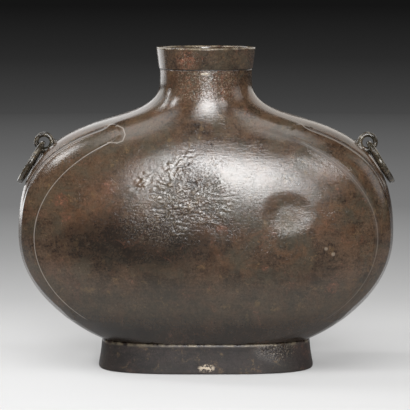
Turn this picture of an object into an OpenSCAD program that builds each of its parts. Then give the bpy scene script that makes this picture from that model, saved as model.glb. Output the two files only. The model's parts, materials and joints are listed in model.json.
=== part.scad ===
// Flattened bronze flask: a wide oval body with broad front and back faces and nearly
// flat narrow sides, a short round neck with a lip band, a hollow splayed foot, and a
// loose ring in a loop on each shoulder.
// Millimetres, Z up. The origin is on the ground under the middle of the foot, and the
// front face looks towards -Y.

/* [Body] */
// Width of the body across its narrow sides
body_w = 339; // [320:1:370]
// Depth of the body from front to back
body_d = 124; // [112:1:140]
// Rise of the widest level above the top of the foot
belly_rise = 96; // [86:1:106]
// Rise of the shoulder's end above the widest level
shoulder_rise = 107; // [100:0.5:116]
// Spread of the shoulder's end beyond the neck, on the long side
shoulder_spread = 35.4; // [30:0.2:42]
// Depth of the body at the shoulder's end
shoulder_d = 90; // [86:1:98]
// Drop for each unit of length at the shoulder's end
shoulder_slope = 0.275; // [0.22:0.005:0.34]
// Thickness of the cast wall
wall = 2.8; // [2.2:0.1:3.6]

/* [Curves of the body] */
// Height over which the long side stays full, above the widest level
full_above = 71; // [60:1:74]
// Height over which the long side stays full, below the widest level
full_below = 41; // [40:1:56]
// Reach of the shoulder's straight run
shoulder_reach = 62; // [54:1:68]
// Reach of the underside's straight run beyond the foot
under_reach = 45; // [40:1:54]
// Rise of the underside over its straight run
under_rise = 20; // [16:1:24]
// Crown of the broad faces: a higher power is flatter
face_power = 2.4; // [2.2:0.05:2.8]
// Flatness of the narrow sides: a higher power is flatter
side_power = 5; // [4.4:0.1:6]

/* [Neck and lip] */
// Outer diameter of the neck
neck_d = 83.2; // [78:0.2:90]
// Height of the hollow curve between shoulder and neck
cove_h = 29; // [24:0.5:34]
// Height of the straight neck below the lip band
neck_h = 13.2; // [10:0.2:20]
// Height of the lip band
lip_h = 18.8; // [14:0.2:24]
// Step from the neck out to the lip band
lip_step = 0.8; // [0.6:0.1:1.6]
// Flare of the lip band from its foot to its top, on the radius
lip_flare = 2.2; // [1.6:0.1:3.2]
// Step from the neck's bore in to the mouth, on the radius
mouth_step = 0.6; // [0.4:0.1:1.2]
// Radius of the lip's rounded edges
lip_round = 1.6; // [1:0.1:2]

/* [Crescent bands] */
// Height of the bands above the face
band_h = 0.9; // [0.6:0.1:1.4]
// Width of the slope at a band's border
band_edge = 0.6; // [0.4:0.1:1]
// Distance from the narrow side to the band's inner line at the widest level
band_w = 17.5; // [14:0.5:21]
// Half height of the oval that the inner line follows
band_oval = 103; // [99:0.5:106]
// Width of the narrow side between the front and back bands
strip_w = 72; // [64:1:78]
// Distance from the middle to the tip of a band's upper end
band_tip = 73; // [69:1:78]
// Rise of a band's upper end above the widest level
band_top = 100; // [96:0.5:102]
// Height of a band's rounded upper end
band_end_h = 15; // [12:0.5:17]
// Distance from the middle to a band's lower end
band_low = 118; // [112:1:122]
// Fall of a band's lower end below the widest level
band_fall = 75; // [71:0.5:78]

/* [Foot] */
// Height of the foot
foot_h = 26; // [20:0.5:32]
// Width of the foot at its top, on the long side
foot_w = 189; // [180:1:198]
// Depth of the foot at its top
foot_d = 83; // [74:1:86]
// Flare of the foot's ends
foot_flare_w = 3.4; // [2:0.2:6]
// Flare of the foot's front and back
foot_flare_d = 6.6; // [4:0.5:9]
// Ledge of the foot beyond the body's base
foot_ledge = 0.8; // [0.4:0.1:1.2]
// Thickness of the foot's wall
foot_wall = 4.2; // [3.4:0.1:5]
// Squareness of the foot's outline: a higher power is squarer
foot_power = 3.2; // [2.8:0.1:3.8]

/* [Loops and rings] */
// Height of a loop's seat above the widest level
loop_rise = 77.5; // [72:0.5:84]
// Height of a loop's centre above the narrow side
loop_stand = 6; // [5.2:0.1:6.4]
// Diameter of the hole in a loop
loop_hole_d = 9.6; // [9.6:0.1:11]
// Thickness of a loop's bow
loop_t = 4.4; // [3.6:0.1:5]
// Width of a loop's bow
loop_w = 7; // [6:0.2:9]
// Width of the roots that spread from a loop along the shoulder
root_w = 4.6; // [3:0.2:5.8]
// Radius of the hollow between a root and the shoulder
root_round = 3; // [2:0.1:5]
// Thickness of a ring
ring_t = 5.4; // [5:0.1:6.2]
// Outer diameter of a ring
ring_d = 45.4; // [40:0.5:48]
// Running gap between a ring and what it rests on
ring_gap = 0.3; // [0.3:0.05:0.4]

/* [Hidden] */

// Fineness of the round pieces
$fn = 72;

// Steps across the narrow side, the band and the broad face in a quarter of the outline
side_n = 3;
band_n = 4;
face_n = 7;
quarter_n = side_n + band_n + face_n + 2;
outline_n = 4 * quarter_n;

// Levels
belly_z = foot_h + belly_rise;
shoulder_z = belly_z + shoulder_rise;
neck_z = shoulder_z + cove_h;
lip_z = neck_z + neck_h;
rim_z = lip_z + lip_h;
loop_z = belly_z + loop_rise;
band_top_z = belly_z + band_top;
band_end_z = band_top_z - band_end_h;
band_low_z = belly_z - band_fall;

// Half sizes
neck_r = neck_d / 2;
mouth_r = neck_r - wall - mouth_step;
shoulder_x = neck_r + shoulder_spread;
ring_r = (ring_d - ring_t) / 2;
wire_r = ring_t / 2;

// Share of the shoulder's run that the curve into the neck still follows
cove_share = 0.355;
// Share of the cove's height over which the neck pulls it upright
cove_pull = 0.49;
// Part of the face's depth gained over the underside's straight run
under_depth_share = 0.6;

// Gain of half depth over the shoulder's run
shoulder_depth_run = 4.4;

// Fall of the close levels below a loop's seat
seat_fall = 10;
// Height of the slice of the body that trims a loop, beyond the loop itself
trim_margin = 14;

// Rails: half width, half depth, height, face power, side power
belly_node = [body_w / 2, body_d / 2, belly_z, face_power, side_power];
base_node = [foot_w / 2, foot_d / 2, foot_h, foot_power, foot_power];
shoulder_node = [shoulder_x, shoulder_d / 2, shoulder_z, 2.1, 3];
neck_node = [neck_r, neck_r, neck_z, 2, 2];
shoulder_run = [shoulder_reach, shoulder_depth_run, -shoulder_reach * shoulder_slope, 0, 0.6];
under_run = [under_reach, (body_d - foot_d) / 2 * under_depth_share, under_rise, 0, 0];
low_rail = [base_node, base_node + under_run, belly_node - [0, 0, full_below, 0, 0], belly_node];
high_rail = [belly_node, belly_node + [0, 0, full_above, 0, 0], shoulder_node + shoulder_run,
             shoulder_node];
cove_rail = [shoulder_node, shoulder_node - cove_share * shoulder_run,
             neck_node - [0, 0, cove_h * cove_pull, 0, 0], neck_node];

function bezier(p, t) =
    pow(1 - t, 3) * p[0] + 3 * pow(1 - t, 2) * t * p[1] + 3 * (1 - t) * t * t * p[2]
    + pow(t, 3) * p[3];
function bezier_rate(p, t) =
    3 * pow(1 - t, 2) * (p[1] - p[0]) + 6 * (1 - t) * t * (p[2] - p[1])
    + 3 * t * t * (p[3] - p[2]);

// Place on a rail at a height, found by halving the interval
function rail_t(p, z, lo = 0, hi = 1, steps = 26) =
    let (mid = (lo + hi) / 2)
    steps == 0 ? mid
    : bezier(p, mid)[2] < z ? rail_t(p, z, mid, hi, steps - 1)
    : rail_t(p, z, lo, mid, steps - 1);

function rail_for(z) = z < belly_z ? low_rail : z < shoulder_z ? high_rail : cove_rail;

// Outline sizes at a height, and how fast the half width and half depth change there
function outline(z) = z >= neck_z ? [neck_r, neck_r, z, 2, 2]
    : bezier(rail_for(z), rail_t(rail_for(z), z));
function outline_rate(z) = z >= neck_z ? [0, 0]
    : let (r = bezier_rate(rail_for(z), rail_t(rail_for(z), z))) [r[0] / r[2], r[1] / r[2]];

function face_y(o, x) = o[1] * pow(1 - pow(x / o[0], o[3]), 1 / o[4]);
function side_x(o, y) = o[0] * pow(1 - pow(y / o[1], o[4]), 1 / o[3]);

// Inner line of the crescent bands: an oval, with a rounded upper end and a plain lower one
function oval_x(z) =
    (body_w / 2 - band_w) * sqrt(max(0, 1 - pow((z - belly_z) / band_oval, 2)));
function between(a, b, s) = a + (b - a) * min(1, max(0, s));
function band_line(z, half_w) =
    let (tip_z = (band_end_z + band_top_z) / 2,
         corner_x = band_tip + band_end_h * 0.4)
    z < belly_z ? max(oval_x(z), min(band_low, 0.9 * half_w))
    : z < band_end_z ? oval_x(z)
    : z < tip_z ? between(oval_x(band_end_z), band_tip, (z - band_end_z) / (tip_z - band_end_z))
    : z <= band_top_z ? between(band_tip, corner_x, (z - tip_z) / (band_top_z - tip_z))
    : half_w * between(corner_x / outline(band_top_z)[0], 0.7,
                       (z - band_top_z) / (neck_z - band_top_z));

// Share of the corner that the strip may take, smaller away from the bands
function strip_share(z) =
    z > band_top_z ? between(0.9, 0.6, (z - band_top_z) / (neck_z - band_top_z))
    : z < band_low_z ? between(0.9, 0.6, (band_low_z - z) / (band_low_z - foot_h))
    : 0.9;

// A quarter of the outline from the narrow side to the face's middle: [x, y, on the band]
function quarter(o, z) =
    let (x_in = band_line(z, o[0]),
         y_out = min(strip_w / 2, strip_share(z) * face_y(o, x_in)),
         low = pow((y_out + band_edge) / o[1], o[4]),
         high = 1 - pow((x_in + band_edge) / o[0], o[3]))
    concat(
        [for (i = [0 : side_n]) [side_x(o, y_out * i / side_n), y_out * i / side_n, 0]],
        [for (i = [0 : band_n]) let (w = low * pow(high / low, i / band_n))
            [o[0] * pow(1 - w, 1 / o[3]), o[1] * pow(w, 1 / o[4]), 1]],
        [for (i = [face_n : -1 : 0]) [x_in * i / face_n, face_y(o, x_in * i / face_n), 0]]);

function unit(v) = v / norm(v);
function normal(o, r, p) =
    unit([o[3] / o[0] * pow(p[0] / o[0], o[3] - 1),
          o[4] / o[1] * pow(p[1] / o[1], o[4] - 1),
          -o[3] * pow(p[0] / o[0], o[3]) * r[0] / o[0] - o[4] * pow(p[1] / o[1], o[4]) * r[1] / o[1]]);

function band_rise_at(z) = z >= band_low_z && z <= band_top_z ? band_h : 0;

// A whole outline, counter-clockwise from above, from its quarter
function mirrored(q) =
    let (n = len(q) - 1)
    concat([for (i = [0 : n - 1]) q[i]],
           [for (i = [n : -1 : 1]) [-q[i][0], q[i][1], q[i][2]]],
           [for (i = [0 : n - 1]) [-q[i][0], -q[i][1], q[i][2]]],
           [for (i = [n : -1 : 1]) [q[i][0], -q[i][1], q[i][2]]]);

function outer_ring(z) =
    let (o = outline(z), r = outline_rate(z), h = band_rise_at(z))
    mirrored([for (p = quarter(o, z)) [p[0], p[1], z] + p[2] * h * normal(o, r, p)]);

// Inside of the wall: the rails moved in square to the surface, and every other point
function inner_outline(z) =
    let (o = outline(z), r = outline_rate(z), slant = sqrt(1 + r[0] * r[0]),
         dz = wall * r[0] / slant)
    [o[0] - wall / slant, o[1] - wall * sqrt(1 + r[1] * r[1]) + r[1] * dz, z + dz, o[3], o[4]];
function inner_ring(z) =
    let (o = inner_outline(z), q = mirrored([for (p = quarter(o, z)) [p[0], p[1], o[2]]]))
    [for (i = [0 : 2 : outline_n - 1]) q[i]];

function spread(from, to, n) = [for (i = [1 : n]) from + (to - from) * i / n];

// Heights of the outlines, with a close pair at each end of the bands
outer_z = concat([foot_h], spread(foot_h, band_low_z - band_edge, 4), [band_low_z],
                 spread(band_low_z, belly_z, 8), spread(belly_z, loop_z - seat_fall, 7),
                 spread(loop_z - seat_fall, band_end_z, 2), spread(band_end_z, band_top_z, 4),
                 [band_top_z + band_edge], spread(band_top_z + band_edge, shoulder_z, 2),
                 spread(shoulder_z, neck_z, 7), [lip_z]);
inner_z = concat([lip_z], spread(lip_z, neck_z, 1), spread(neck_z, shoulder_z, 4),
                 spread(shoulder_z, band_end_z, 3), spread(band_end_z, belly_z, 5),
                 spread(belly_z, band_low_z, 4), spread(band_low_z, foot_h, 3));

// Side faces between two outlines of n points, the first starting at point number a
function skin(a, b, n) =
    [for (i = [0 : n - 1]) let (j = (i + 1) % n) each [[a + i, b + i, b + j], [a + i, b + j, a + j]]];
function lid(centre, a, n, up) =
    [for (i = [0 : n - 1]) let (j = (i + 1) % n) up ? [centre, a + j, a + i] : [centre, a + i, a + j]];

module solid_loft(rings) {
    n = len(rings[0]);
    last = len(rings) - 1;
    flat = [for (r = rings) each r];
    bottom = [0, 0, rings[0][0][2]];
    top = [0, 0, rings[last][0][2]];
    polyhedron(points = concat(flat, [bottom, top]),
               faces = concat([for (k = [0 : last - 1]) each skin(k * n, (k + 1) * n, n)],
                              lid(len(flat), 0, n, false), lid(len(flat) + 1, last * n, n, true)),
               convexity = 8);
}

module vessel_body() {
    outer = [for (z = outer_z) outer_ring(z)];
    inner = [for (z = inner_z) inner_ring(z)];
    half_n = outline_n / 2;
    first = len(outer) * outline_n;
    rim = (len(outer) - 1) * outline_n;
    inside = first + (len(inner) - 1) * half_n;
    points = concat([for (r = outer) each r], [for (r = inner) each r],
                    [[0, 0, foot_h], [0, 0, inner[len(inner) - 1][0][2]]]);
    rim_faces = [for (j = [0 : half_n - 1])
        let (o0 = rim + 2 * j, o1 = o0 + 1, o2 = rim + (2 * j + 2) % outline_n,
             i0 = first + j, i1 = first + (j + 1) % half_n)
        each [[o0, i0, o1], [o1, i0, i1], [o1, i1, o2]]];
    color([0.27, 0.22, 0.18])
        polyhedron(points = points,
                   faces = concat(
                       [for (k = [0 : len(outer) - 2]) each skin(k * outline_n, (k + 1) * outline_n, outline_n)],
                       rim_faces,
                       [for (k = [0 : len(inner) - 2]) each skin(first + k * half_n, first + (k + 1) * half_n, half_n)],
                       lid(len(points) - 2, 0, outline_n, false),
                       lid(len(points) - 1, inside, half_n, true)),
                   convexity = 8);
}

// Band round the mouth, which widens upwards and has rounded edges
module lip_band() {
    low_r = neck_r + lip_step;
    top_r = low_r + lip_flare;
    color([0.30, 0.24, 0.19])
        translate([0, 0, lip_z]) rotate_extrude() {
            polygon([[mouth_r, 0], [low_r, 0], [top_r, lip_h - lip_round],
                     [mouth_r, lip_h - lip_round]]);
            translate([mouth_r + lip_round, lip_h - 2 * lip_round])
                square([top_r - mouth_r - 2 * lip_round, 2 * lip_round]);
            for (x = [mouth_r + lip_round, top_r - lip_round])
                translate([x, lip_h - lip_round]) circle(lip_round);
        }
}

// Foot: outlines from the ground up the outside and down the inside again
foot_n = 48;
function foot_outline(grow_w, grow_d, z) =
    [for (i = [0 : foot_n - 1])
        let (a = 360 * (i + 0.5) / foot_n, c = cos(a), s = sin(a))
        [sign(c) * (foot_w / 2 + grow_w) * pow(abs(c), 2 / foot_power),
         sign(s) * (foot_d / 2 + grow_d) * pow(abs(s), 2 / foot_power), z]];
function flared(s, inset, z) =
    foot_outline(foot_ledge + foot_flare_w * pow(1 - s, 1.6) - inset,
                 foot_ledge + foot_flare_d * pow(1 - s, 1.6) - inset, z);

module foot_ring() {
    edge = foot_ledge;
    outside = [flared(0, edge, 0), for (z = concat([edge], spread(edge, foot_h - edge, 6)))
        flared(z / foot_h, 0, z)];
    top = [flared(1, edge, foot_h), flared(1, foot_wall, foot_h)];
    inside = [for (s = [0.66, 0.33, 0]) flared(s, foot_wall, s * foot_h)];
    rings = concat(outside, top, inside);
    color([0.25, 0.21, 0.18])
        polyhedron(points = [for (r = rings) each r],
                   faces = [for (k = [0 : len(rings) - 1])
                       each skin(k * foot_n, ((k + 1) % len(rings)) * foot_n, foot_n)],
                   convexity = 8);
}

// Seat of a loop on the narrow side, and the centre of its hole above that seat
function edge_point(z) = [outline(z)[0], z];
function edge_normal(z) = unit([1, -outline_rate(z)[0]]);
loop_centre = edge_point(loop_z) + loop_stand * edge_normal(loop_z);
bow_r = (loop_hole_d + loop_t) / 2;

// Centre of the hollow that touches the shoulder at a height, and the height at which it
// touches the bow too, found by halving the interval
function hollow_centre(z) = edge_point(z) + root_round * edge_normal(z);
function root_z(near, far, steps = 20) =
    let (mid = (near + far) / 2)
    steps == 0 ? mid
    : norm(hollow_centre(mid) - loop_centre) < bow_r + loop_t / 2 + root_round
    ? root_z(mid, far, steps - 1) : root_z(near, mid, steps - 1);

// The ring bears on the lower outer part of the hole
hinge = loop_centre + (loop_hole_d / 2 - wire_r - ring_gap) * [sin(45), -cos(45)];

// Angle from straight down at which the ring lies on the narrow side below the loop
function lean(z) =
    let (d = [outline(z)[0], z] - hinge)
    atan2(d[0], -d[1]) + asin(min(1, (wire_r + ring_gap) / norm(d)));
hang = max([for (z = [loop_z - 2 * ring_r : 1 : loop_z]) lean(z)]);

// Root on one side of a loop, up (1) or down (-1) the shoulder, with a hollow flank
module loop_root(side) {
    z = root_z(loop_z, loop_z + side * 2 * loop_hole_d);
    rotate([90, 0, 0]) linear_extrude(root_w, center = true) difference() {
        polygon([loop_centre, hollow_centre(z), edge_point(z) - wall * edge_normal(z),
                 edge_point(loop_z) - wall * edge_normal(loop_z)]);
        translate(hollow_centre(z)) circle(root_round);
        translate(loop_centre) circle(bow_r);
    }
}

module shoulder_loop() {
    flat_w = loop_w - loop_t;
    difference() {
        union() {
            translate([loop_centre[0], 0, loop_centre[1]]) rotate([90, 0, 0]) rotate_extrude()
                translate([bow_r, 0]) {
                    square([loop_t, flat_w], center = true);
                    for (y = [-flat_w / 2, flat_w / 2]) translate([0, y]) circle(loop_t / 2);
                }
            for (side = [-1, 1]) loop_root(side);
        }
        solid_loft([for (z = outer_z)
            if (abs(z - loop_z) < loop_hole_d / 2 + loop_t + trim_margin) outer_ring(z)]);
    }
}

module hanging_ring() {
    translate([hinge[0], 0, hinge[1]]) rotate([0, 90 - hang, 0]) translate([ring_r, 0, 0])
        rotate_extrude() translate([ring_r, 0]) circle(wire_r);
}

module loop_right() { color([0.34, 0.28, 0.22]) shoulder_loop(); }
module loop_left() { color([0.34, 0.28, 0.22]) mirror([1, 0, 0]) shoulder_loop(); }
module ring_right() { color([0.38, 0.32, 0.25]) hanging_ring(); }
module ring_left() { color([0.38, 0.32, 0.25]) mirror([1, 0, 0]) hanging_ring(); }

vessel_body();
lip_band();
foot_ring();
loop_left();
loop_right();
ring_left();
ring_right();
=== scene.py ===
"""Dresses the flattened bronze flask and sets it in a plain studio.

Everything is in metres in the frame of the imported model: Z up, the ground at zero, the
front face towards -Y. Boxes, the mouth's bore and the rings' hinges are read from the
frame; the places of marks and of the bands' outline are typed here.
"""

import json
import logging
import math
from collections.abc import Callable, Iterator
from contextlib import contextmanager
from dataclasses import dataclass
from enum import Enum
from functools import reduce

import bpy
from mathutils import Matrix, Vector, noise
from mathutils.bvhtree import BVHTree

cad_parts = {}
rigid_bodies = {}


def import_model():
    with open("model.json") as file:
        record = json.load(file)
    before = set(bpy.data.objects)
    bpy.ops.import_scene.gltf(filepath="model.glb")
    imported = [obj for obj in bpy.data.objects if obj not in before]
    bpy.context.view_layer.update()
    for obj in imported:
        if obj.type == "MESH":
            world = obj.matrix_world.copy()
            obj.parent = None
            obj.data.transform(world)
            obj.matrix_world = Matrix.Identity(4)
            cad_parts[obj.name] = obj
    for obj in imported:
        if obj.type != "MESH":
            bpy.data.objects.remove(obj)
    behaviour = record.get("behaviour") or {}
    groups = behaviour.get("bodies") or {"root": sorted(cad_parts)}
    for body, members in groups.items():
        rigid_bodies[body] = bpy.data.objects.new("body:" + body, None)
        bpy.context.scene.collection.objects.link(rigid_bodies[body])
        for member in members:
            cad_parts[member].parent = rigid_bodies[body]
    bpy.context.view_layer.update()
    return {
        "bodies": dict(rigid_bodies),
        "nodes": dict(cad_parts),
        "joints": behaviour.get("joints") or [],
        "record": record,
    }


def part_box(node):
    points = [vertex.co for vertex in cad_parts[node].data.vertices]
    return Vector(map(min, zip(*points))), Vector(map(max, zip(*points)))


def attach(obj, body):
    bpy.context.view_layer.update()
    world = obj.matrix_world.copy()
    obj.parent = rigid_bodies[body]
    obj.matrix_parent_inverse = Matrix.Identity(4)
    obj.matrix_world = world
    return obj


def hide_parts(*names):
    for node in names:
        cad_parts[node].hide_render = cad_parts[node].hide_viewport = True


MM = 0.001
# Points closer than this are one point.
WELD = 0.01 * MM
# Loose triangles join into quads up to this bend.
JOIN_ANGLE = math.radians(60)
# A surface whose normal has a smaller Y than this faces the front, or squarely so.
FACES_FRONT = -0.3
FACES_SQUARELY = -0.5
# Pins the crumpled skin: unseeded, noise_vector takes its offsets from the clock.
NOISE_SEED = 1795673188

Colour = tuple[float, float, float, float]
Point = tuple[float, float, float]
Span = tuple[float, float]
Stops = tuple[tuple[float, str], ...]
Value = "float | Sig"
WHITE: Colour = (1, 1, 1, 1)

log = logging.getLogger("flask")


def tone(code: str) -> Colour:
    """Linear colour of a screen colour.

    Args:
        code: Six hexadecimal digits, as on a colour chart.

    Returns:
        Red, green, blue and alpha, linear.
    """
    shares = [int(code[i:i + 2], 16) / 255 for i in (0, 2, 4)]
    linear = [s / 12.92 if s <= 0.04045 else ((s + 0.055) / 1.055) ** 2.4 for s in shares]
    return (linear[0], linear[1], linear[2], 1.0)


def smooth_share(value: float, low: float, high: float) -> float:
    """Share from 0 at low to 1 at high, with level ends."""
    s = min(1.0, max(0.0, (value - low) / (high - low)))
    return s * s * (3 - 2 * s)


class Side(Enum):
    """The two narrow sides, by the direction of X."""

    LEFT = -1
    RIGHT = 1

    @property
    def word(self) -> str:
        """The side's word in the names of nodes."""
        return self.name.lower()


@dataclass(frozen=True)
class Spot:
    """A round or oval place on the front face."""

    x: float
    z: float
    half_w: float
    half_h: float

    def distance(self, point: Vector) -> float:
        """Distance from the middle, as a share of the half sizes."""
        return math.hypot((point.x - self.x) / self.half_w, (point.z - self.z) / self.half_h)


@dataclass(frozen=True)
class Mark:
    """A place with a look of its own, in millimetres.

    The edge is the share of the radius over which it fades, and the squash holds the
    factors on the three axes before the distance is taken.
    """

    x: float
    y: float
    z: float
    radius: float
    edge: float = 0.5
    squash: Point = (1, 1, 1)


# Meshes


def focus(obj: bpy.types.Object) -> None:
    """Makes one object the only selected and the active one."""
    for other in bpy.context.scene.objects:
        other.select_set(False)
    obj.select_set(True)
    bpy.context.view_layer.objects.active = obj


@contextmanager
def editing(obj: bpy.types.Object, mode: str = "VERT") -> Iterator[None]:
    """Edit mode on one object, with all of it selected on entry.

    Args:
        obj: The object to edit.
        mode: What is selected: VERT, EDGE or FACE.
    """
    focus(obj)
    bpy.ops.object.mode_set(mode="EDIT")
    bpy.ops.mesh.select_mode(type=mode)
    bpy.ops.mesh.select_all(action="SELECT")
    yield
    bpy.ops.object.mode_set(mode="OBJECT")


def apply_modifier(obj: bpy.types.Object, kind: str, **settings: object) -> None:
    """Adds a modifier, sets it and applies it."""
    focus(obj)
    modifier = obj.modifiers.new(kind.lower(), kind)
    for key, value in settings.items():
        setattr(modifier, key, value)
    bpy.ops.object.modifier_apply(modifier=modifier.name)


def select_faces(obj: bpy.types.Object, test: Callable[[Vector, Vector], bool]) -> int:
    """Selects, outside edit mode, the faces that pass a test.

    Args:
        obj: The object whose faces are selected.
        test: Takes a face's centre and normal.

    Returns:
        How many faces are selected.
    """
    mesh = obj.data
    for vertex in mesh.vertices:
        vertex.select = False
    for edge in mesh.edges:
        edge.select = False
    count = 0
    for face in mesh.polygons:
        face.select = test(face.center, face.normal)
        count += face.select
    return count


def refine(obj: bpy.types.Object, test: Callable[[Vector, Vector], bool], cuts: int,
           relax: int) -> None:
    """Cuts the faces of a zone finer and relaxes them.

    Args:
        obj: The object that is cut.
        test: Takes a face's centre and normal, and says whether it is in the zone.
        cuts: Cuts across each edge.
        relax: Rounds of smoothing after the cuts.
    """
    with editing(obj, "FACE"):
        bpy.ops.mesh.select_all(action="DESELECT")
        bpy.ops.object.mode_set(mode="OBJECT")
        select_faces(obj, test)
        bpy.ops.object.mode_set(mode="EDIT")
        if cuts:
            bpy.ops.mesh.subdivide(number_cuts=cuts, smoothness=0)
            bpy.ops.mesh.select_less()
        bpy.ops.mesh.vertices_smooth(factor=0.5, repeat=relax)


def carve(obj: bpy.types.Object, height: Callable[[Vector, Vector], float]) -> None:
    """Moves each vertex along its normal.

    Args:
        obj: The object that is carved.
        height: Takes a vertex's place and normal, and gives how far it moves out.
    """
    mesh = obj.data
    moves = [(v.index, v.co + height(v.co, v.normal) * v.normal) for v in mesh.vertices]
    for index, place in moves:
        mesh.vertices[index].co = place
    mesh.update()


def merged_copy(frame: dict, node: str, name: str) -> bpy.types.Object:
    """Copy of a node of the frame, with its loose triangles joined into quads.

    Args:
        node: The node's name.
        name: The new piece's name.

    Returns:
        The new object, at the origin.
    """
    mesh = frame["nodes"][node].data.copy()
    mesh.name = name
    mesh.materials.clear()
    obj = bpy.data.objects.new(name, mesh)
    bpy.context.scene.collection.objects.link(obj)
    focus(obj)
    if mesh.has_custom_normals:
        bpy.ops.mesh.customdata_custom_splitnormals_clear()
    with editing(obj):
        bpy.ops.mesh.remove_doubles(threshold=WELD)
        bpy.ops.mesh.tris_convert_to_quads(face_threshold=JOIN_ANGLE,
                                           shape_threshold=JOIN_ANGLE)
    return obj


def named(name: str) -> bpy.types.Object:
    """The object that an operator has just added, with a name for it and its mesh."""
    obj = bpy.context.active_object
    obj.name = name
    obj.data.name = name
    return obj


def shade(obj: bpy.types.Object, angle: float | None = None) -> None:
    """Smooth shading, all over or up to an angle in degrees."""
    focus(obj)
    if angle is None:
        bpy.ops.object.shade_smooth()
    else:
        bpy.ops.object.shade_smooth_by_angle(angle=math.radians(angle))


# Materials


@dataclass(frozen=True)
class Sig:
    """A shader socket that takes part in sums."""

    graph: "Graph"
    socket: bpy.types.NodeSocket

    def _math(self, operation: str, first: Value, second: Value) -> "Sig":
        """A Math node on two values."""
        return self.graph.node("ShaderNodeMath", {"operation": operation}, {0: first, 1: second})

    def __add__(self, other: Value) -> "Sig":
        """Sum."""
        return self._math("ADD", self, other)

    def __radd__(self, other: Value) -> "Sig":
        """Sum, from the right."""
        return self._math("ADD", other, self)

    def __sub__(self, other: Value) -> "Sig":
        """Difference."""
        return self._math("SUBTRACT", self, other)

    def __rsub__(self, other: Value) -> "Sig":
        """Difference, from the right."""
        return self._math("SUBTRACT", other, self)

    def __mul__(self, other: Value) -> "Sig":
        """Product."""
        return self._math("MULTIPLY", self, other)

    def __rmul__(self, other: Value) -> "Sig":
        """Product, from the right."""
        return self._math("MULTIPLY", other, self)

    def __truediv__(self, other: Value) -> "Sig":
        """Quotient."""
        return self._math("DIVIDE", self, other)

    def __pow__(self, other: Value) -> "Sig":
        """Power."""
        return self._math("POWER", self, other)

    def __abs__(self) -> "Sig":
        """Size without sign."""
        return self._math("ABSOLUTE", self, 0.0)

    def most(self, other: Value) -> "Sig":
        """The larger of two values."""
        return self._math("MAXIMUM", self, other)

    def least(self, other: Value) -> "Sig":
        """The smaller of two values."""
        return self._math("MINIMUM", self, other)

    def step(self, low: float, high: float) -> "Sig":
        """Smooth step from 0 at low to 1 at high."""
        return self.graph.node("ShaderNodeMapRange", {"interpolation_type": "SMOOTHSTEP"},
                               {"Value": self, "From Min": low, "From Max": high})


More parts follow.
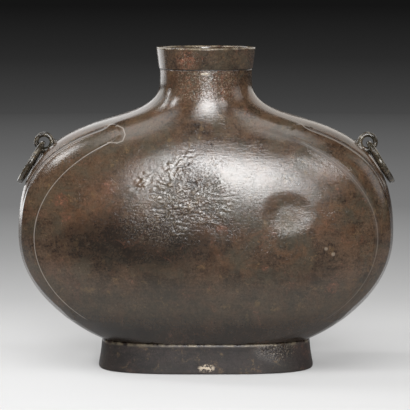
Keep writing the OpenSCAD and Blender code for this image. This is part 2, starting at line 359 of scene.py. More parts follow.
class Graph:
    """A node tree that is filled by one method."""

    def __init__(self, tree: bpy.types.NodeTree) -> None:
        """Empties the tree.

        Args:
            tree: The node tree of a material or a world.
        """
        self.tree = tree
        self.tree.nodes.clear()
        self._place: Sig | None = None

    def node(self, kind: str, settings: dict | None = None, sockets: dict | None = None,
             out: int | str = 0) -> Sig:
        """Adds a node.

        Args:
            kind: The node's type.
            settings: Its properties, and the stops of a ramp, set before the sockets.
            sockets: Values or signals by the input's name or number.
            out: Name or number of the output that is returned.

        Returns:
            The chosen output.
        """
        made = self.tree.nodes.new(kind)
        for key, value in (settings or {}).items():
            if key == "stops":
                while len(made.color_ramp.elements) < len(value):
                    made.color_ramp.elements.new(0.5)
                for element, (position, colour) in zip(made.color_ramp.elements, value):
                    element.position = position
                    element.color = colour
            else:
                setattr(made, key, value)
        for key, value in (sockets or {}).items():
            if isinstance(value, Sig):
                self.tree.links.new(value.socket, made.inputs[key])
            else:
                made.inputs[key].default_value = value
        return Sig(self, made.outputs[out])

    @property
    def place(self) -> Sig:
        """The point's place on the object, in metres."""
        if self._place is None:
            self._place = self.node("ShaderNodeTexCoord", out="Object")
        return self._place

    def axis(self, letter: str) -> Sig:
        """One coordinate of the place."""
        return self.node("ShaderNodeSeparateXYZ", None, {0: self.place}, out=letter)

    def shifted(self, offset: Point, scale: Point = (1, 1, 1)) -> Sig:
        """The place, moved and stretched."""
        return self.node("ShaderNodeMapping", None,
                         {"Vector": self.place, "Location": offset, "Scale": scale})

    def looked(self) -> Sig:
        """1 for camera, glossy and transmission rays, which see the backdrop as it is."""
        rays = [self.node("ShaderNodeLightPath", out=f"Is {kind} Ray")
                for kind in ("Camera", "Glossy", "Transmission")]
        return rays[0].most(rays[1]).most(rays[2])

    def clouds(self, scale: float, detail: float = 3, rough: float = 0.55, warp: float = 0,
               where: Sig | None = None) -> Sig:
        """Soft random pattern between 0 and 1.

        Args:
            scale: Patches per metre.
            detail: Finer layers.
            rough: Strength of the finer layers.
            warp: Distortion.
            where: Another place than the plain one.

        Returns:
            The pattern.
        """
        return self.node("ShaderNodeTexNoise", None,
                         {"Vector": where or self.place, "Scale": scale, "Detail": detail,
                          "Roughness": rough, "Distortion": warp})

    def near(self, mark: Mark) -> Sig:
        """Mask that is 1 in the middle of a mark and 0 beyond its wavy outline.

        Args:
            mark: Where it is, how large, and how it fades.

        Returns:
            The mask.
        """
        radius = mark.radius * MM
        point = (mark.x * MM, mark.y * MM, mark.z * MM)
        middle = tuple(-c * s for c, s in zip(point, mark.squash))
        moved = self.node("ShaderNodeMapping", None,
                          {"Vector": self.place, "Location": middle, "Scale": mark.squash})
        far = self.node("ShaderNodeVectorMath", {"operation": "LENGTH"}, {0: moved}, out="Value")
        wavy = far + (self.clouds(1.6 / radius, 3) - 0.5) * (0.6 * radius)
        return 1 - wavy.step(radius * (1 - mark.edge), radius)

    def near_any(self, marks: tuple[Mark, ...]) -> Sig:
        """Mask of several marks together."""
        return reduce(Sig.most, [self.near(mark) for mark in marks])

    def mix(self, share: Value, first: Sig | Colour, second: Sig | Colour) -> Sig:
        """Two colours mixed by a share."""
        return self.node("ShaderNodeMix", {"data_type": "RGBA", "blend_type": "MIX"},
                         {0: share, 6: first, 7: second}, out=2)

    def ramp(self, stops: Stops, share: Sig) -> Sig:
        """Colour along a row of stops, each a share and a screen colour."""
        return self.node("ShaderNodeValToRGB",
                         {"stops": [(place, tone(code)) for place, code in stops]}, {0: share})

    def bump(self, height: Sig, distance: float, strength: float = 1,
             under: Sig | None = None) -> Sig:
        """Bump from a height between 0 and 1.

        Args:
            height: The pattern.
            distance: What a height of 1 stands for, in metres.
            strength: Share of it that shows.
            under: A bump that this one lies on.

        Returns:
            The normal.
        """
        sockets = {"Height": height, "Distance": distance, "Strength": strength}
        if under is not None:
            sockets["Normal"] = under
        return self.node("ShaderNodeBump", None, sockets)

    def close(self, shader: Sig, kind: str = "ShaderNodeOutputMaterial") -> None:
        """Ends the tree with its surface."""
        output = self.tree.nodes.new(kind)
        self.tree.links.new(shader.socket, output.inputs["Surface"])


@dataclass(frozen=True)
class Patina:
    """Old bronze under a dark, glossy skin of brown, olive and red.

    The masks that a finish may have are: olive, warm, red, specks, pale and worn for the colour;
    one of painted shade and one of a painted highlight; line, painted shade in grooves; relief,
    whose valleys get painted shade and whose ridges a painted highlight; pitted for the bumps;
    dull for the roughness.
    """

    name: str
    dark: Colour = tone("241b14")
    brown: Colour = tone("503f31")
    warm: Colour = tone("5d402b")
    olive: Colour = tone("423e33")
    ochre: Colour = tone("7c6444")
    red: Colour = tone("5e3f31")
    spark: Colour = tone("90604a")
    dust: Colour = tone("b0a28f")
    # Colour of painted shade in grooves and creases, and of the painted shadow under the lip.
    line: Colour = tone("14100d")
    # Near-black browns of painted shade.
    deep: Colour = tone("0d0906")
    deep_brown: Colour = tone("2d2117")
    # Colour of the painted highlight along the bands' inner edges.
    trace: Colour = tone("a39b93")
    metal: Colour = tone("a3967f")
    gloss: float = 0.18
    gloss_swing: float = 0.12
    dull_rough: float = 0.35
    line_rough: float = 0.3
    valley_rough: float = 0.12
    ridge_gloss: float = 0.08
    worn_metal: float = 0.7
    shine: float = 0.5
    coat: float = 0.06
    coat_rough: float = 0.25
    pits: float = 0.25
    wave: float = 0.25 * MM
    brush: float = 0.095 * MM
    grain: float = 0.05 * MM
    hole: float = 0.2 * MM
    crumple: float = 0.42 * MM
    line_depth: float = 0.4 * MM

    def masks(self, g: Graph) -> dict[str, Sig]:
        """Places with a look of their own, by name."""
        return {}

    def colour(self, g: Graph, masks: dict[str, Sig]) -> Sig:
        """Mottled colour: broad clouds, streaks, flecks and dust, with painted shade and painted
        highlights where the masks call for them.

        Args:
            g: The material's graph.
            masks: Places with a look of their own.

        Returns:
            The colour of each point.
        """
        broad = g.clouds(15, 4, 0.62, 0.6)
        fine = g.clouds(75, 4, 0.68, 0.4)
        grain = g.clouds(520, 3, 0.8)
        streak = g.clouds(1, 3, 0.7, 0.2, g.shifted((0.3, 0.9, 0.1), (16, 16, 230)))
        share = (broad * 0.26 + fine * 0.26 + grain * 0.36 + streak * 0.12).step(0.41, 0.59)
        colour = g.mix(share, self.dark, self.brown)
        olive = g.clouds(24, 6, 0.75, 0.5, g.shifted((3.1, 0.7, 1.3))).step(0.45, 0.62)
        colour = g.mix((olive * 0.6).most(masks.get("olive", 0.0)), colour, self.olive)
        ochre = g.clouds(120, 5, 0.75, 0.4, g.shifted((8.4, 1.9, 4.2))).step(0.56, 0.70)
        colour = g.mix(ochre * 0.35, colour, self.ochre)
        warm = g.clouds(46, 6, 0.78, 0.6, g.shifted((5.4, 3.9, 0.2))).step(0.44, 0.66)
        colour = g.mix(warm * (0.26 + masks.get("warm", 0.0) * 0.3), colour, self.warm)
        soot = g.clouds(480, 2, 0.7, 0, g.shifted((2.7, 9.2, 6.3))).step(0.55, 0.68)
        colour = g.mix(soot * 0.45, colour, self.dark)
        # Painted shade: where the mask asks, the colour turns to near-black browns.
        if "painted_shade" in masks:
            shade_share = masks["painted_shade"] * (fine.step(0.35, 0.5) * 0.25 + 0.75)
            colour = g.mix(shade_share, colour, g.mix(share, self.deep, self.deep_brown))
        blotch = g.clouds(42, 5, 0.75, 0.7, g.shifted((0.4, 2.9, 5.2))).step(0.54, 0.68)
        spotted = g.clouds(300, 3, 0.75, 0.2, g.shifted((1.7, 8.2, 0.6)))
        red = (blotch * 0.3).most(masks.get("red", 0.0))
        colour = g.mix(red * spotted.step(0.38, 0.60), colour, self.red)
        colour = g.mix((red * 0.9) * spotted.step(0.57, 0.68), colour, self.spark)
        dusty = g.clouds(760, 3, 0.8, 0, g.shifted((7.7, 1.2, 3.3)))
        dust = dusty.step(0.58, 0.72) * (fine.step(0.48, 0.66) * 0.16 + 0.02)
        dust = dust.most(masks.get("specks", 0.0) * dusty.step(0.54, 0.64))
        dust = dust.most(masks.get("pale", 0.0))
        colour = g.mix(dust, colour, self.dust)
        # Painted shade in the crumpled skin's valleys, and a painted highlight on its ridges.
        if "relief" in masks:
            colour = g.mix(masks["relief"].step(-0.08, -0.45) * 0.55, colour, self.line)
            colour = g.mix(masks["relief"].step(0.12, 0.5) * 0.2, colour, self.dust)
        # Painted highlight: a pale line along the bands' inner edges and round their tips.
        if "trace" in masks:
            colour = g.mix(masks["trace"], colour, self.trace)
        # Painted shade along the grooves, and a painted shadow under the lip.
        if "line" in masks:
            colour = g.mix(masks["line"], colour, self.line)
        if "worn" in masks:
            colour = g.mix(masks["worn"], colour, self.metal)
        return colour

    def normal(self, g: Graph, masks: dict[str, Sig]) -> Sig:
        """Fine relief: casting waves, brushing, grain, pits and engraved lines.

        Args:
            g: The material's graph.
            masks: Places with a look of their own.

        Returns:
            The normal of each point.
        """
        pitted = masks.get("pitted", 0.0)
        pits = g.clouds(70, 4, 0.6).step(0.42, 0.66) * self.pits
        holes = g.clouds(520, 2, 0.6, 0.3, g.shifted((2.2, 4.4, 1.1))).step(0.52, 0.66)
        crisp = g.clouds(380, 2, 0.6, 0.8, g.shifted((4.1, 0.3, 7.5)))
        normal = g.bump(g.clouds(48, 2, 0.5), self.wave, 0.5)
        brushed = g.clouds(1, 4, 0.85, 0.1, g.shifted((0.6, 0.2, 0.8), (70, 70, 620)))
        normal = g.bump(brushed, self.brush, 1, normal)
        normal = g.bump(g.clouds(480, 1, 0.6), self.grain, 1, normal)
        normal = g.bump(1 - holes * pits.most(pitted), self.hole, 1, normal)
        if "pitted" in masks:
            normal = g.bump(crisp * pitted, self.crumple, 1, normal)
        if "line" in masks:
            normal = g.bump(1 - masks["line"], self.line_depth, 1, normal)
        return normal

    def roughness(self, g: Graph, masks: dict[str, Sig]) -> Sig:
        """Roughness: uneven all over, more in dull places and valleys.

        Args:
            g: The material's graph.
            masks: Places with a look of their own.

        Returns:
            The roughness of each point.
        """
        rough = (self.gloss - self.gloss_swing / 2) + (
            g.clouds(90, 4, 0.7, 0.4) * self.gloss_swing)
        rough = rough + masks.get("dull", 0.0) * self.dull_rough
        rough = rough + masks.get("line", 0.0) * self.line_rough
        if "relief" in masks:
            rough = rough + masks["relief"].step(0.0, -0.4) * self.valley_rough
            rough = rough - masks["relief"].step(0.05, 0.4) * self.ridge_gloss
        return rough

    def material(self) -> bpy.types.Material:
        """Builds the material.

        Returns:
            The finished material.
        """
        made = bpy.data.materials.new(self.name)
        made.use_nodes = True
        g = Graph(made.node_tree)
        masks = self.masks(g)
        g.close(g.node("ShaderNodeBsdfPrincipled", None, {
            "Base Color": self.colour(g, masks), "Roughness": self.roughness(g, masks),
            "Normal": self.normal(g, masks), "Specular IOR Level": self.shine, "IOR": 1.5,
            "Metallic": masks.get("worn", 0.0) * self.worn_metal,
            "Coat Weight": self.coat, "Coat Roughness": self.coat_rough}))
        return made


@dataclass(frozen=True)
class BodyPatina(Patina):
    """The shell's patina, with the marks that its front face bears, and its painted shade and
    highlights.
    """

    belly_z: float = 122 * MM
    oval_w: float = 152 * MM
    oval_h: float = 103 * MM
    strip_y: float = 32.5 * MM
    band_top: float = 222 * MM
    band_low: float = 47 * MM
    tip_x: float = 78.3 * MM
    tip_z: float = 214.6 * MM
    tip_r: float = 6.9 * MM
    bend_w: float = 8 * MM
    middle: Span = (-20 * MM, 20 * MM)
    line_half: Span = (0.5 * MM, 1.4 * MM)
    line_start: Span = (150 * MM, 170 * MM)
    line_inner: Span = (60 * MM, 80 * MM)
    neck_end: Span = (269.6 * MM, 270.6 * MM)
    neck_start: Span = (238 * MM, 250 * MM)
    neck_half: Span = (14 * MM, 34 * MM)
    underside: Span = (36 * MM, 72 * MM)
    low_belly: Span = (62 * MM, 108 * MM)
    red_spots: tuple[Mark, ...] = (
        Mark(-85, -56, 169, 8), Mark(-128, -52, 157, 9), Mark(-124, -52, 143, 7),
        Mark(112, -52, 80, 7), Mark(52, -58, 98, 5), Mark(14, -60, 132, 7))
    pale_spots: tuple[Mark, ...] = (
        Mark(105.6, -57, 115, 2.2, 0.6), Mark(112, -56, 110, 2.4, 0.6))
    # A painted highlight: a short pale dash on the neck just under the lip.
    dash: Mark = Mark(-1, -41.5, 267.6, 5.2, 0.4, (1, 0.3, 5))
    scuffed: Mark = Mark(75, -58, 139, 22, 0.9, (1, 0.3, 1.3))
    wrinkled: Mark = Mark(-12, -58, 158, 46, 0.7, (1, 0.3, 1.2))
    crumbs: Mark = Mark(-40, -58, 146, 48, 0.8, (1, 0.3, 1.2))
    # Painted shade: a dark zone below and left of the crumpled patch.
    dark_zone: Mark = Mark(-60, -60, 121, 68, 0.7, (0.75, 0.3, 1.9))
    warm_left: Mark = Mark(-96, -56, 158, 52, 0.9, (1, 0.3, 1))
    warm_rest: tuple[Mark, ...] = (
        Mark(36, -60, 118, 70, 0.8, (0.75, 0.3, 1.9)),
        Mark(108, -54, 150, 48, 0.9, (1, 0.3, 0.8)))

    def oval(self, x: Sig, z: Sig) -> Sig:
        """Distance from the belly's middle, 1 on the bands' inner edge."""
        return ((x / self.oval_w) ** 2 + ((z - self.belly_z) / self.oval_h) ** 2) ** 0.5

    def band_line(self, x: Sig, z: Sig) -> Sig:
        """Painted highlight along the bands' inner edge and round their tips, faint on the
        right.
        """
        side = abs(x)
        along = z.step(self.band_low, self.band_low + 4 * MM) * (
            1 - z.step(self.tip_z - self.tip_r, self.tip_z - self.tip_r + 1 * MM))
        inner = (1 - abs(self.oval(x, z) - 1.0).step(0.0005, 0.0038)) * along
        across, up = abs(side - self.tip_x), abs(z - self.tip_z)
        from_tip = (across * 0.94 + up * 0.36).most(across * 0.36 + up * 0.94)
        tip = abs(from_tip - self.tip_r).most(side - self.tip_x - 1 * MM)
        bend = abs(z - self.tip_z + self.tip_r).most(
            abs(side - self.tip_x - self.bend_w / 2) - self.bend_w / 2)
        end = (1 - tip.least(bend).step(0.2 * MM, 0.8 * MM)) * 0.8
        right = x.step(*self.middle)
        share = 0.18 + (1 - right) * 0.32
        return inner.most(end * (1 - right * 0.7)) * share

    def dark_line(self, x: Sig, y: Sig, z: Sig) -> Sig:
        """Painted shade in the grooves beside the narrow sides at the shoulders, and a painted
        shadow under the lip.
        """
        beside = 1 - abs(abs(y) - self.strip_y).step(*self.line_half)
        height = z.step(*self.line_start) * (1 - z.step(self.band_top - 4 * MM, self.band_top))
        return (beside * height * abs(x).step(*self.line_inner)).most(z.step(*self.neck_end))

    def masks(self, g: Graph) -> dict[str, Sig]:
        """Places with a look of their own."""
        x, y, z = (g.axis(letter) for letter in "XYZ")
        red, pale, warm = (g.near_any(marks) for marks in (
            self.red_spots, self.pale_spots, self.warm_rest))
        dash, scuffed, wrinkled, crumbs, painted_shade, left = (g.near(mark) for mark in (
            self.dash, self.scuffed, self.wrinkled, self.crumbs, self.dark_zone,
            self.warm_left))
        front = 1 - y.step(-20 * MM, 0.0)
        neck = z.step(*self.neck_start) * front * (1 - abs(x).step(*self.neck_half))
        under = 1 - z.step(*self.underside)
        low = 1 - z.step(*self.low_belly)
        # The right band's upper inner edge: rougher, and darkened a little with painted shade.
        quiet = (1 - abs(self.oval(x, z) - 1.0).step(0.004, 0.03)) * x.step(40 * MM, 60 * MM)
        relief = g.node("ShaderNodeAttribute", {"attribute_name": "relief"}, out="Fac")
        return {"red": (red * 0.55).most(left * 0.1).most(neck * 0.4),
                # Pale spots and scuffs, with the painted highlight of the dash.
                "pale": (pale * 0.3).most(scuffed * 0.07).most(dash * 0.8),
                "trace": self.band_line(x, z), "relief": relief,
                "specks": (neck * 0.45).most(scuffed * 0.4).most(crumbs * 0.35),
                "pitted": wrinkled.most(neck * 0.5).most(crumbs * 0.3).most(scuffed * 0.8),
                "warm": left.most(warm), "olive": low * 0.5,
                "dull": (scuffed * 0.45).most(quiet * 0.4),
                # Painted shade: the dark zone, the underside near the foot, and a little towards
                # the bottom.
                "painted_shade": painted_shade.most(under).most(low * 0.3),
                "line": (self.dark_line(x, y, z) * 0.8).most(quiet * 0.15)}


@dataclass(frozen=True)
class FootPatina(Patina):
    """The foot's patina: darker and duller, with a rubbed ledge and a pale crust."""

    ledge: Span = (22.5 * MM, 25.2 * MM)
    rubbed: Mark = Mark(64, -40, 22, 25, 0.8, (1, 0.6, 1.4))
    crust: Mark = Mark(0, -47, 5.2, 8.5, 0.5, (0.9, 0.2, 2.2))

    def masks(self, g: Graph) -> dict[str, Sig]:
        """Places with a look of their own."""
        ledge = g.axis("Z").step(*self.ledge)
        rubbed, crust = g.near(self.rubbed), g.near(self.crust)
        lumps = g.clouds(480, 3, 0.7, 0.6).step(0.46, 0.54)
        return {"pale": crust * lumps, "specks": rubbed * 0.35, "pitted": rubbed * 0.9,
                "worn": ledge * g.clouds(120, 3).step(0.40, 0.65) * 0.35,
                "dull": 1 - rubbed.most(ledge)}


# Pieces


@dataclass
class Piece:
    """A sub-assembly's part that stands for one node of the frame."""

    frame: dict
    name: str = "piece"
    node: str = "node"
    body: str = "vessel"
    slot: str = "slot"

    def build(self) -> bpy.types.Object:
        """Builds the mesh."""
        raise NotImplementedError

    def finish(self) -> Patina:
        """The patina that the piece wears."""
        raise NotImplementedError

    def make(self) -> bpy.types.Object:
        """Builds, dresses and mounts the piece.

        Returns:
            The finished object.
        """
        obj = self.build()
        obj.data.materials.clear()
        obj.data.materials.append(self.finish().material())
        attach(obj, self.body)
        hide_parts(self.node)
        log.info("%s: %d faces, stands for %s on body %s", obj.name, len(obj.data.polygons),
                 self.node, self.body)
        return obj


@dataclass
class BodyShell(Piece):
    """The cast flask: broad faces with crescent bands, shoulders and neck."""

    name: str = "body_shell"
    node: str = "vessel_body"
    slot: str = "body_bronze"
    dent: Spot = Spot(72 * MM, 146 * MM, 24 * MM, 22 * MM)
    dent_depth: float = 1.05 * MM
    dent_ripple: float = 0.07 * MM
    wrinkles: Spot = Spot(-15 * MM, 160 * MM, 45 * MM, 39 * MM)
    wrinkle_height: float = 0.58 * MM
    groove_y: float = 32.5 * MM
    groove_depth: float = 0.6 * MM
    groove_x: float = 62 * MM
    groove_low: Span = (140 * MM, 175 * MM)
    groove_high: Span = (219 * MM, 222 * MM)
    groove_half: Span = (0.3 * MM, 1.5 * MM)
    casting_wave: float = 0.22 * MM
    wave_low: Span = (30 * MM, 50 * MM)
    wave_high: Span = (262 * MM, 270 * MM)
    zone_margin: float = 1.15
    zone_x: float = 60 * MM
    zone_z: Span = (138 * MM, 224 * MM)
    zone_half: float = 2.5 * MM
    worn_edge: float = 0.055
    level: float = 0.05 * MM

    def wrinkle(self, place: Vector) -> float:
        """Height of the crumpled skin at a place, about -1 to 1."""
        p = place + noise.noise_vector(place * 130) * 2.2 * MM
        folds = noise.noise(p * 95) * 0.6 + abs(noise.noise(p * 235)) * 1.7
        folds += abs(noise.noise(p * 520 + Vector((5, 1, 2)))) * 1.3
        x, z = place.x - self.wrinkles.x, place.z - self.wrinkles.z
        turn = math.atan2(z, x)
        rays = abs(noise.noise(Vector((turn * 12, math.hypot(x, z) * 40, 3)))) * 2.0
        east = smooth_share(x, 6 * MM, 24 * MM)
        return folds * (1 - 0.6 * east) + rays * 0.5 * east - 0.65

    def relief(self, place: Vector, normal: Vector) -> float:
        """Crumpled skin at a place, zero outside its patch."""
        if normal.y > FACES_FRONT:
            return 0.0
        edge = self.wrinkles.distance(place) + noise.noise(place * 45) * 0.4
        if edge > 1.1:
            return 0.0
        strong = 0.65 + 0.9 * noise.noise(place * 55 + Vector((3, 7, 1)))
        strong *= 1 - 0.35 * smooth_share(place.x, 5 * MM, 30 * MM)
        return (1 - smooth_share(edge, 0.4, 1.1)) * strong * self.wrinkle(place)

    def groove(self, place: Vector) -> float:
        """Share of the groove between the bands and the narrow sides."""
        low, high = self.groove_low, self.groove_high
        if abs(place.x) < self.groove_x or not low[0] < place.z < high[1]:
            return 0.0
        across = 1 - smooth_share(abs(abs(place.y) - self.groove_y), *self.groove_half)
        return across * smooth_share(place.z, *low) * (1 - smooth_share(place.z, *high))

    def height(self, place: Vector, normal: Vector) -> float:
        """How far the surface stands out at a place."""
        wave = noise.noise(place * 26) * 0.7 + noise.noise(place * 60) * 0.3
        out = self.casting_wave * wave * smooth_share(place.z, *self.wave_low)
        out *= 1 - smooth_share(place.z, *self.wave_high)
        out -= self.groove_depth * self.groove(place)
        if normal.y > FACES_FRONT:
            return out
        in_dent = self.dent.distance(place) + noise.noise(place * 40) * 0.16
        if in_dent < 1:
            out -= self.dent_depth * (1 - smooth_share(in_dent, 0.3, 1))
            ripple = noise.noise(place * 240) * self.dent_ripple
            out += ripple * (1 - smooth_share(in_dent, 0.6, 1))
        return out + self.wrinkle_height * self.relief(place, normal)

    def in_zone(self, centre: Vector, normal: Vector) -> bool:
        """Whether a face lies where the shell needs a finer mesh."""
        if (abs(centre.x) > self.zone_x and self.zone_z[0] < centre.z < self.zone_z[1]
                and abs(abs(centre.y) - self.groove_y) < self.zone_half):
            return True
        if normal.y > FACES_SQUARELY:
            return False
        return (self.wrinkles.distance(centre) < self.zone_margin
                or self.dent.distance(centre) < self.zone_margin)

    def on_right_edge(self, centre: Vector, normal: Vector) -> bool:
        """Whether a face lies on the right band's upper inner edge, which is worn away."""
        if centre.y > 0 or centre.x < 45 * MM or centre.z < 140 * MM:
            return False
        oval = math.hypot(centre.x / BodyPatina.oval_w,
                          (centre.z - BodyPatina.belly_z) / BodyPatina.oval_h)
        return abs(oval - 1.0) < self.worn_edge

    def build(self) -> bpy.types.Object:
        """Builds the mesh."""
        obj = merged_copy(self.frame, self.node, self.name)
        low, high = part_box(self.node)
        crease = obj.data.attributes.new("crease_edge", "FLOAT", "EDGE")
        places = [v.co for v in obj.data.vertices]
        for edge in obj.data.edges:
            heights = [places[i].z for i in edge.vertices]
            at_end = min(abs(heights[0] - e) for e in (low.z, high.z)) < self.level
            if at_end and abs(heights[0] - heights[1]) < self.level:
                crease.data[edge.index].value = 1.0
        apply_modifier(obj, "SUBSURF", levels=2, render_levels=2)
        refine(obj, self.on_right_edge, 0, 16)
        refine(obj, self.in_zone, 3, 6)
        crumpled = obj.data.attributes.new("relief", "FLOAT", "POINT")
        for vertex in obj.data.vertices:
            crumpled.data[vertex.index].value = self.relief(vertex.co, vertex.normal)
        carve(obj, self.height)
        shade(obj, 60)
        return obj

    def finish(self) -> Patina:
        """The patina that the piece wears."""
        return BodyPatina("body_patina")


@dataclass
class LipRim(Piece):
    """The band round the mouth, turned from its profile."""

    name: str = "lip_rim"
    node: str = "lip_band"
    slot: str = "lip_bronze"
    flare: float = 2.2 * MM
    rounding: float = 1.5 * MM
    steps: int = 144
    rim_wave: float = 0.12 * MM
    nick_depth: float = 0.5 * MM
    set_down: float = 0.06 * MM
    inset: float = 0.02 * MM

    def __post_init__(self) -> None:
        """Reads the band's box from the frame."""
        self.low, self.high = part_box(self.node)

    def profile(self) -> list[Vector]:
        """Closed outline of the band in the XZ plane, from the mouth's lower edge."""
        low, high = self.low, self.high
        bore = next(m for m in self.frame["record"]["mounts"] if m["name"] == "mouth")
        inner = bore["dims"]["r_mm"] * MM
        outer = high.x
        r = self.rounding
        turn = [math.radians(a) for a in range(0, 91, 15)]
        points = [(inner, low.z), (outer - self.flare, low.z)]
        points += [(outer - self.flare * (1 - s), low.z + (high.z - r - low.z) * s)
                   for s in (0.04, 0.2, 0.4, 0.6, 0.8, 0.94)]
        points += [(outer - r + r * math.cos(a), high.z - r + r * math.sin(a)) for a in turn]
        points += [(inner + r - r * math.sin(a), high.z - r + r * math.cos(a)) for a in turn]
        points += [(inner, low.z + (high.z - r - low.z) * s) for s in (0.75, 0.5, 0.25)]
        return [Vector((x, 0, z)) for x, z in points]

    def height(self, place: Vector, normal: Vector) -> float:
        """Wear and nicks of the rim."""
        up = smooth_share(place.z, self.low.z + 4 * MM, self.high.z)
        wave = noise.noise(place * 40) * self.rim_wave
        nick = smooth_share(noise.noise(place * 115 + Vector((4, 2, 9))), 0.12, 0.5)
        east = smooth_share(place.x, 20 * MM, 42 * MM)
        nick *= self.nick_depth * (0.3 + 0.7 * east)
        return (wave - nick - self.set_down) * up - self.inset

    def build(self) -> bpy.types.Object:
        """Builds the mesh."""
        points = self.profile()
        bpy.ops.object.select_all(action="DESELECT")
        bpy.ops.mesh.primitive_plane_add(size=MM, location=points[0])
        obj = named(self.name)
        bpy.ops.object.transform_apply(location=True, rotation=True, scale=True)
        with editing(obj):
            bpy.ops.mesh.merge(type="CENTER")
            for before, after in zip(points, points[1:]):
                bpy.ops.mesh.extrude_region_move(
                    TRANSFORM_OT_translate={"value": tuple(after - before)})
            bpy.ops.mesh.select_all(action="SELECT")
            bpy.ops.mesh.edge_face_add()
            bpy.ops.mesh.delete(type="ONLY_FACE")
            bpy.ops.mesh.select_all(action="SELECT")
            bpy.ops.mesh.spin(steps=self.steps, angle=2 * math.pi, center=(0, 0, 0),
                              axis=(0, 0, 1))
            bpy.ops.mesh.select_all(action="SELECT")
            bpy.ops.mesh.remove_doubles(threshold=WELD)
            bpy.ops.mesh.normals_make_consistent(inside=False)
        apply_modifier(obj, "SUBSURF", levels=1, render_levels=1, subdivision_type="SIMPLE")
        carve(obj, self.height)
        shade(obj, 45)
        return obj

    def finish(self) -> Patina:
        """The patina that the piece wears."""
        return LipPatina("lip_patina")


@dataclass(frozen=True)
class LipPatina(Patina):
    """The lip's patina, with red flecks on its left front and a rubbed top."""

    top: Span = (287.5 * MM, 289.6 * MM)
    flecked: Mark = Mark(-17, -40, 279, 14, 0.7)

    def masks(self, g: Graph) -> dict[str, Sig]:
        """Places with a look of their own."""
        top = g.axis("Z").step(*self.top)
        flecked = g.near(self.flecked)
        return {"red": flecked * 0.9, "pitted": flecked * 0.5, "specks": flecked * 0.3,
                "worn": top * g.clouds(150, 3).step(0.35, 0.6) * 0.4}


@dataclass
class FootShell(Piece):
    """The splayed foot, with a crust at its lower edge."""

    name: str = "foot_shell"
    node: str = "foot_ring"
    slot: str = "foot_bronze"
    crust: Spot = Spot(0, 5.2 * MM, 9 * MM, 4.2 * MM)
    crust_height: float = 0.9 * MM
    rubbed: Spot = Spot(62 * MM, 22 * MM, 26 * MM, 8 * MM)
    casting_wave: float = 0.25 * MM
    wave_low: Span = (0, 2 * MM)
    wave_high: Span = (24 * MM, 26 * MM)

    def height(self, place: Vector, normal: Vector) -> float:
        """How far the surface stands out at a place."""
        free = smooth_share(place.z, *self.wave_low) * (
            1 - smooth_share(place.z, *self.wave_high))
        out = noise.noise(place * 38) * self.casting_wave * free
        if normal.y > -0.2:
            return out
        edge = self.crust.distance(place) + noise.noise(place * 260) * 0.5
        if edge < 1:
            lump = 0.55 + 0.45 * noise.noise(place * 520)
            out += self.crust_height * (1 - smooth_share(edge, 0.5, 1)) * lump * free
        patch = 1 - smooth_share(self.rubbed.distance(place), 0.5, 1)
        return out + patch * noise.noise(place * 210) * self.casting_wave * free

    def in_zone(self, centre: Vector, normal: Vector) -> bool:
        """Whether a face lies where the front needs a finer mesh."""
        if normal.y > FACES_SQUARELY:
            return False
        return self.crust.distance(centre) < 1.3 or self.rubbed.distance(centre) < 1.1

    def build(self) -> bpy.types.Object:
        """Builds the mesh."""
        obj = merged_copy(self.frame, self.node, self.name)
        apply_modifier(obj, "SUBSURF", levels=2, render_levels=2)
        refine(obj, self.in_zone, 3, 3)
        carve(obj, self.height)
        shade(obj, 50)
        return obj

    def finish(self) -> Patina:
        """The patina that the piece wears."""
        return FootPatina("foot_patina", gloss=0.27, shine=0.35, coat=0.0, dark=tone("120e0c"),
                          brown=tone("2b2321"), warm=tone("2f241c"), olive=tone("24211d"))


@dataclass
class ShoulderLoop(Piece):
    """A loop on a shoulder, with roots that run into the casting."""

    side: Side = Side.LEFT
    slot: str = "loop_bronze"
    voxel: float = 0.4 * MM
    sink: float = 0.9 * MM
    near_seat: float = 0.25 * MM
    fine_wave: float = 0.12 * MM
    slow_wave: float = 0.15 * MM

    def __post_init__(self) -> None:
        """Takes the names from the side."""
        self.name = f"loop_bow_{self.side.word}"
        self.node = f"loop_{self.side.word}"

    def build(self) -> bpy.types.Object:
        """Builds the mesh."""
        obj = merged_copy(self.frame, self.node, self.name)
        body = self.frame["nodes"]["vessel_body"].data
        skin = BVHTree.FromPolygons([v.co for v in body.vertices],
                                    [tuple(p.vertices) for p in body.polygons])
        for vertex in obj.data.vertices:
            _, normal, _, gap = skin.find_nearest(vertex.co)
            if gap < self.near_seat:
                vertex.co = vertex.co - normal * self.sink
        obj.data.update()
        apply_modifier(obj, "REMESH", mode="VOXEL", voxel_size=self.voxel)
        apply_modifier(obj, "SMOOTH", factor=0.5, iterations=4)
        carve(obj, lambda place, _: (noise.noise(place * 300) * self.fine_wave
                                     + noise.noise(place * 120) * self.slow_wave))
        shade(obj)
        return obj

    def finish(self) -> Patina:
        """The patina that the piece wears."""
        return RubbedPatina(f"loop_patina_{self.side.word}")


@dataclass(frozen=True)
class RubbedPatina(Patina):
    """Patina of what is handled: greener, with bright metal where it is rubbed."""

    dark: Colour = tone("15120e")
    brown: Colour = tone("302a20")
    warm: Colour = tone("3a2c20")
    olive: Colour = tone("2c2c21")
    metal: Colour = tone("857b68")
    gloss: float = 0.16
    gloss_swing: float = 0.14
    grain: float = 0.09 * MM

    def masks(self, g: Graph) -> dict[str, Sig]:
        """Places with a look of their own."""
        return {"worn": g.clouds(170, 5, 0.75).step(0.50, 0.66) * 0.5,
                "specks": g.clouds(60, 3).step(0.45, 0.6) * 0.3,
                "pitted": g.clouds(90, 3).step(0.45, 0.6) * 0.6}


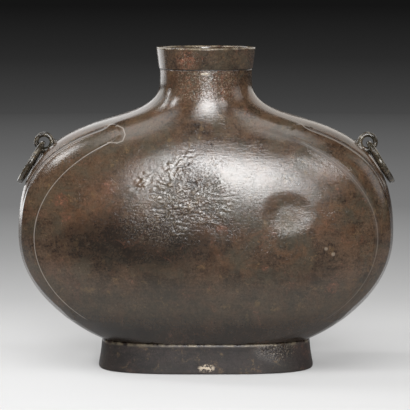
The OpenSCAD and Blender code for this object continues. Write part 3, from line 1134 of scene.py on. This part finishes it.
@dataclass
class HangingRing(Piece):
    """A loose ring, round in section, worn where it hangs."""

    side: Side = Side.LEFT
    slot: str = "ring_bronze"
    wear_depth: float = 0.25 * MM
    wear_reach: float = 5 * MM
    wire_wave: float = 0.16 * MM
    inset: float = 0.06 * MM

    def __post_init__(self) -> None:
        """Takes the names from the side."""
        self.name = f"ring_wire_{self.side.word}"
        self.node = f"ring_{self.side.word}"
        self.body = self.node

    def build(self) -> bpy.types.Object:
        """Builds the mesh."""
        low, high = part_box(self.node)
        centre = (low + high) / 2
        joint = next(j for j in self.frame["joints"] if j["child"] == self.body)
        hinge = Vector(joint["pos_m"])
        arm = centre - hinge
        radius = arm.length
        wire = (high.y - low.y) / 2 - radius
        tilt = math.atan2(arm.x, -arm.z)
        bpy.ops.object.select_all(action="DESELECT")
        bpy.ops.mesh.primitive_torus_add(location=centre, major_segments=96, minor_segments=24,
                                         major_radius=radius, minor_radius=wire)
        obj = named(self.name)
        obj.rotation_euler = (0, math.pi / 2 - tilt, 0)
        bpy.ops.object.transform_apply(location=True, rotation=True, scale=True)
        apply_modifier(obj, "SUBSURF", levels=1, render_levels=1)

        def worn(place: Vector, normal: Vector) -> float:
            """Waves of the wire, and its wear at the hinge."""
            rub = 1 - smooth_share((place - hinge).length, wire, wire + self.wear_reach)
            wave = noise.noise(place * 70) * 0.6 + noise.noise(place * 230) * 0.4
            return self.wire_wave * wave - self.wear_depth * rub - self.inset

        carve(obj, worn)
        shade(obj)
        return obj

    def finish(self) -> Patina:
        """The patina that the piece wears."""
        return RubbedPatina(f"ring_patina_{self.side.word}")


# Studio


@dataclass(frozen=True)
class Lamp:
    """A soft box that looks at the flask."""

    name: str
    azimuth: float
    elevation: float
    distance: float
    width: float
    height: float
    radiance: float
    tint: Point = (1, 1, 1)
    aim: Point = (0, 0, 0.15)

    def hang(self) -> None:
        """Adds the lamp to the scene."""
        data = bpy.data.lights.new(self.name, "AREA")
        data.shape = "RECTANGLE"
        data.size = self.width
        data.size_y = self.height
        data.energy = self.radiance * math.pi * self.width * self.height
        data.color = self.tint
        a, e = math.radians(self.azimuth), math.radians(self.elevation)
        away = Vector((math.sin(a) * math.cos(e), -math.cos(a) * math.cos(e), math.sin(e)))
        obj = bpy.data.objects.new(self.name, data)
        obj.matrix_world = Matrix.Translation(Vector(self.aim) + away * self.distance) @ (
            away.to_track_quat("Z", "Y").to_matrix().to_4x4())
        obj.visible_camera = False
        bpy.context.scene.collection.objects.link(obj)


@dataclass(frozen=True)
class Studio:
    """Camera, lamps, floor and what lies behind."""

    camera_place: Point = (0, -1.5, 0.3386)
    camera_aim: Point = (-0.0008, 0, 0.1465)
    focal_px: float = 1661
    frame_px: float = 410
    sensor_mm: float = 36
    floor_radius: float = 3.2
    floor_drop: float = 0.2 * MM
    floor_shift: float = 0.17
    floor_glow: float = 0.2
    front_fall: float = 8
    front_limit: float = 1.2
    world_light: float = 0.22
    floor_paper: str = "8c8c8c"
    floor_tones: Stops = (
        (0.0, "d4d4d4"), (0.096, "c9c9c9"), (0.158, "b4b4b4"), (0.262, "9d9d9d"),
        (0.397, "7c7c7c"), (0.678, "636363"), (1.0, "484848"))
    wall_tones: Stops = (
        (0.0, "484848"), (0.463, "484848"), (0.468, "3f3f3f"), (0.481, "292929"),
        (0.496, "151515"), (1.0, "101010"))
    lamps: tuple[Lamp, ...] = (
        Lamp("front_box", 2.3, 14, 1.75, 0.54, 0.56, 23),
        Lamp("front_fill", 14, 11, 1.7, 0.22, 0.30, 13),
        Lamp("right_window", 26, 24, 1.5, 0.20, 0.16, 26),
        Lamp("left_box", -67, 42, 1.4, 0.30, 0.36, 14),
        Lamp("left_strip", -100, 38, 1.4, 0.16, 1.0, 13),
        Lamp("left_low", -136, -1, 1.3, 0.9, 0.22, 2.2),
        Lamp("left_back", -148, 27, 1.6, 1.35, 1.05, 1.5),
        Lamp("right_back", 148, 25, 1.6, 1.35, 1.15, 1.0, (1, 0.95, 0.89)),
        Lamp("right_box", 78, 24, 1.5, 0.6, 0.8, 1.8),
        Lamp("top_box", 0, 66, 1.3, 1.3, 0.9, 3.0),
    )

    def place_camera(self) -> None:
        """Adds the camera at the photograph's viewing angle."""
        data = bpy.data.cameras.new("camera")
        data.sensor_width = self.sensor_mm
        data.lens = self.focal_px / self.frame_px * self.sensor_mm
        obj = bpy.data.objects.new("camera", data)
        obj.location = self.camera_place
        look = Vector(self.camera_aim) - Vector(self.camera_place)
        obj.rotation_euler = look.to_track_quat("-Z", "Y").to_euler()
        bpy.context.scene.collection.objects.link(obj)
        bpy.context.scene.camera = obj

    def lay_floor(self) -> None:
        """Adds the pale floor, whose painted tones darken with distance and partly glow."""
        bpy.ops.object.select_all(action="DESELECT")
        bpy.ops.mesh.primitive_circle_add(vertices=128, radius=self.floor_radius,
                                          fill_type="NGON", location=(0, 0, -self.floor_drop))
        obj = named("floor")
        made = bpy.data.materials.new("floor_paper")
        made.use_nodes = True
        g = Graph(made.node_tree)
        x, y = g.axis("X"), g.axis("Y") + self.floor_shift
        deep = y.most((y * -self.front_fall).least(self.front_limit)).most(y * -1)
        far = (x * x + deep * deep) ** 0.5 / (self.floor_radius + self.floor_shift)
        # Painted light: the tones darken with distance as the light falls off, and for camera
        # and glossy rays part of the floor glows instead of being lit.
        seen = g.ramp(self.floor_tones, far)
        looked = g.looked()
        paper = g.mix(looked, tone(self.floor_paper), seen)
        lit = g.node("ShaderNodeBsdfDiffuse", None, {"Color": paper})
        glow = g.node("ShaderNodeEmission", None, {"Color": seen})
        share = looked * (self.floor_glow + (1 - self.floor_glow) * far.step(0.10, 0.30))
        g.close(g.node("ShaderNodeMixShader", None, {0: share, 1: lit, 2: glow}))
        obj.data.materials.append(made)

    def light_world(self) -> None:
        """Even grey light from all round, seen as a dark wall above the floor."""
        world = bpy.data.worlds.new("studio")
        world.use_nodes = True
        bpy.context.scene.world = world
        g = Graph(world.node_tree)
        way = g.node("ShaderNodeTexCoord", out="Generated")
        z = g.node("ShaderNodeSeparateXYZ", None, {0: way}, out="Z")
        seen = g.ramp(self.wall_tones, z * 0.5 + 0.5)
        looked = g.looked()
        colour = g.mix(looked, WHITE, seen)
        strength = looked + (1 - looked) * self.world_light
        glow = g.node("ShaderNodeBackground", None, {"Color": colour, "Strength": strength})
        g.close(glow, "ShaderNodeOutputWorld")

    def build(self) -> None:
        """Sets up the whole studio."""
        self.place_camera()
        self.lay_floor()
        self.light_world()
        for lamp in self.lamps:
            lamp.hang()
        bpy.context.scene.view_settings.view_transform = "Standard"
        log.info("studio: camera, floor and %d lamps", len(self.lamps))


def main() -> None:
    """Builds the flask's pieces and the studio."""
    logging.basicConfig(level=logging.INFO, format="%(name)s: %(message)s")
    noise.seed_set(NOISE_SEED)
    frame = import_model()
    pieces = [BodyShell(frame), LipRim(frame), FootShell(frame)]
    for side in Side:
        pieces += [ShoulderLoop(frame, side=side), HangingRing(frame, side=side)]
    for piece in pieces:
        piece.make()
    Studio().build()


if __name__ == "__main__":
    main()
